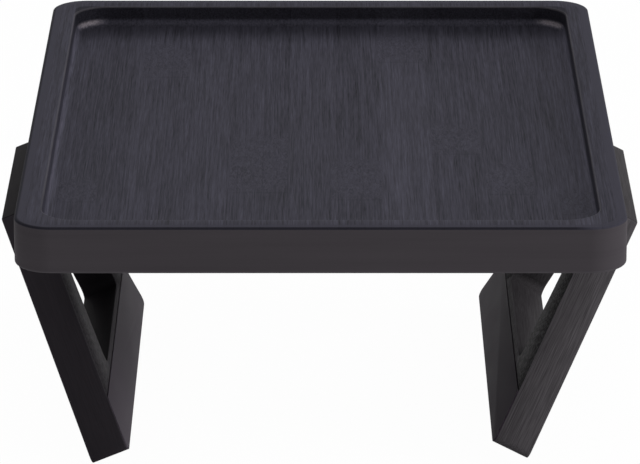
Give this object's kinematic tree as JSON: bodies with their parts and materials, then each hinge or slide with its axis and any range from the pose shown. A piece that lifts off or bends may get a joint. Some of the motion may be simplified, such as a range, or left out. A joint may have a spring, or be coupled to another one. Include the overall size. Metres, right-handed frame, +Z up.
{
  "type": "sofa arm tray",
  "caption": "Rectangular tray with a raised rim, clipped over a sofa arm by two sprung, inward-leaning side frames with grip pads.",
  "frame": {"origin": "centre of the tray board's flat underside, which rests on the sofa arm", "axes": "+X across the tray and the sofa arm, +Y along the sofa arm, away from the picture's camera, +Z up"},
  "size_m": [0.3283, 0.4, 0.1579],
  "materials": {
    "stained_bamboo": "satin black stain over laminated bamboo",
    "dowel_wood": "plain hardwood dowel",
    "grip_rubber": "matt black silicone",
    "hinge_steel": "black-coated pressed steel",
    "spring_steel": "oiled spring wire",
    "screw_steel": "black zinc"
  },
  "bodies": {
    "tray": {"tray_board": "stained_bamboo", "left_batten": "stained_bamboo", "right_batten": "stained_bamboo", "left_batten_screws": "screw_steel", "right_batten_screws": "screw_steel", "left_front_fixed_leaf": "hinge_steel", "left_rear_fixed_leaf": "hinge_steel", "right_front_fixed_leaf": "hinge_steel", "right_rear_fixed_leaf": "hinge_steel", "left_front_hinge_pin": "hinge_steel", "left_rear_hinge_pin": "hinge_steel", "right_front_hinge_pin": "hinge_steel", "right_rear_hinge_pin": "hinge_steel", "left_front_spring": "spring_steel", "left_rear_spring": "spring_steel", "right_front_spring": "spring_steel", "right_rear_spring": "spring_steel", "left_fixed_leaf_screws": "screw_steel", "right_fixed_leaf_screws": "screw_steel"},
    "left_frame": {"left_front_moving_leaf": "hinge_steel", "left_rear_moving_leaf": "hinge_steel", "left_moving_leaf_screws": "screw_steel", "left_top_rail": "stained_bamboo", "left_bottom_rail": "stained_bamboo", "left_front_rail": "stained_bamboo", "left_rear_rail": "stained_bamboo", "left_frame_dowels": "dowel_wood", "left_grip_pad": "grip_rubber"},
    "right_frame": {"right_front_moving_leaf": "hinge_steel", "right_rear_moving_leaf": "hinge_steel", "right_moving_leaf_screws": "screw_steel", "right_top_rail": "stained_bamboo", "right_bottom_rail": "stained_bamboo", "right_front_rail": "stained_bamboo", "right_rear_rail": "stained_bamboo", "right_frame_dowels": "dowel_wood", "right_grip_pad": "grip_rubber"}
  },
  "joints": [
    {"name": "left_frame_hinge", "type": "hinge", "parent": "tray", "child": "left_frame", "pos_m": [-0.1428, 0, -0.0093], "axis": [0, 1, 0], "range_deg": [-67, 52], "stiffness_Nm_per_rad": 2},
    {"name": "right_frame_hinge", "type": "hinge", "parent": "tray", "child": "right_frame", "pos_m": [0.1428, 0, -0.0093], "axis": [0, -1, 0], "range_deg": [-62, 57], "stiffness_Nm_per_rad": 2}
  ]
}
